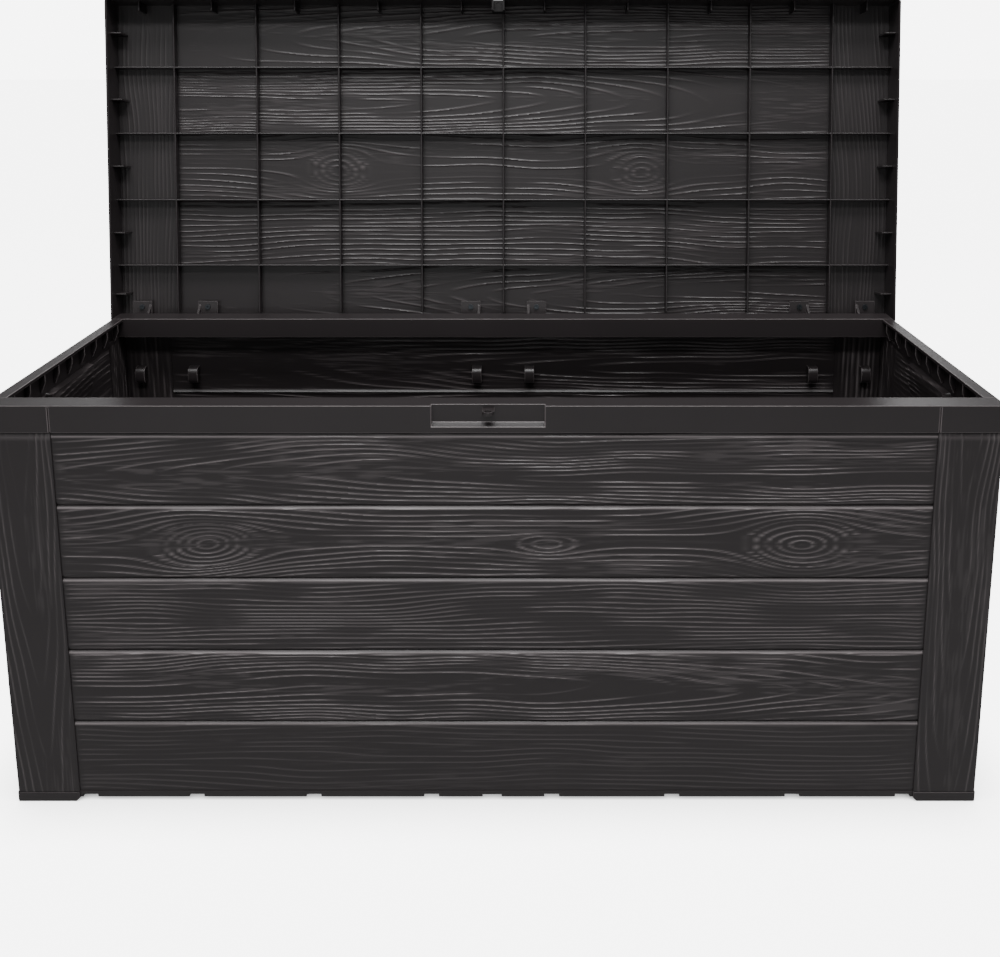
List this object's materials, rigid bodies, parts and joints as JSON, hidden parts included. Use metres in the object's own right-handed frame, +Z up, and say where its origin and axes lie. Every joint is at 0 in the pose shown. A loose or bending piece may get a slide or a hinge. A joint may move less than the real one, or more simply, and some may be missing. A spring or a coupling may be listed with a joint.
{
  "type": "deck storage box",
  "caption": "Resin deck storage box with a plank look: panel walls on corner posts and feet, and a hinged ribbed lid with a padlock staple.",
  "frame": {"origin": "on the ground, at the middle of the rectangle that the open box covers, which is 55.7 mm behind the middle of the body", "axes": "+X to the right seen from the front, +Y to the rear, +Z up"},
  "size_m": [1.198, 0.5994, 0.9697],
  "materials": {
    "moulded_resin": "moulded polypropylene with a wood grain, satin",
    "acetal_pin": "turned acetal, smooth",
    "zinc_steel": "zinc plated"
  },
  "bodies": {
    "box": {"corner_foot_front_left": "moulded_resin", "corner_foot_front_right": "moulded_resin", "corner_foot_rear_left": "moulded_resin", "corner_foot_rear_right": "moulded_resin", "corner_post_front_left": "moulded_resin", "corner_post_front_right": "moulded_resin", "corner_post_rear_left": "moulded_resin", "corner_post_rear_right": "moulded_resin", "floor_panel": "moulded_resin", "front_panel": "moulded_resin", "front_top_rail": "moulded_resin", "hinge_bracket_centre": "moulded_resin", "hinge_bracket_left": "moulded_resin", "hinge_bracket_right": "moulded_resin", "hinge_pin_centre": "acetal_pin", "hinge_pin_left": "acetal_pin", "hinge_pin_right": "acetal_pin", "left_side_panel": "moulded_resin", "left_top_rail": "moulded_resin", "lock_staple": "moulded_resin", "rear_panel": "moulded_resin", "rear_top_rail": "moulded_resin", "right_side_panel": "moulded_resin", "right_top_rail": "moulded_resin"},
    "lid": {"lid_hasp": "moulded_resin", "lid_hinge_leaf_centre": "moulded_resin", "lid_hinge_leaf_left": "moulded_resin", "lid_hinge_leaf_right": "moulded_resin", "lid_hinge_screws": "zinc_steel", "lid_shell": "moulded_resin"}
  },
  "joints": [
    {"name": "lid_hinge", "type": "hinge", "parent": "box", "child": "lid", "pos_m": [0, 0.1838, 0.488], "axis": [1, 0, 0], "range_deg": [0, 98]}
  ]
}
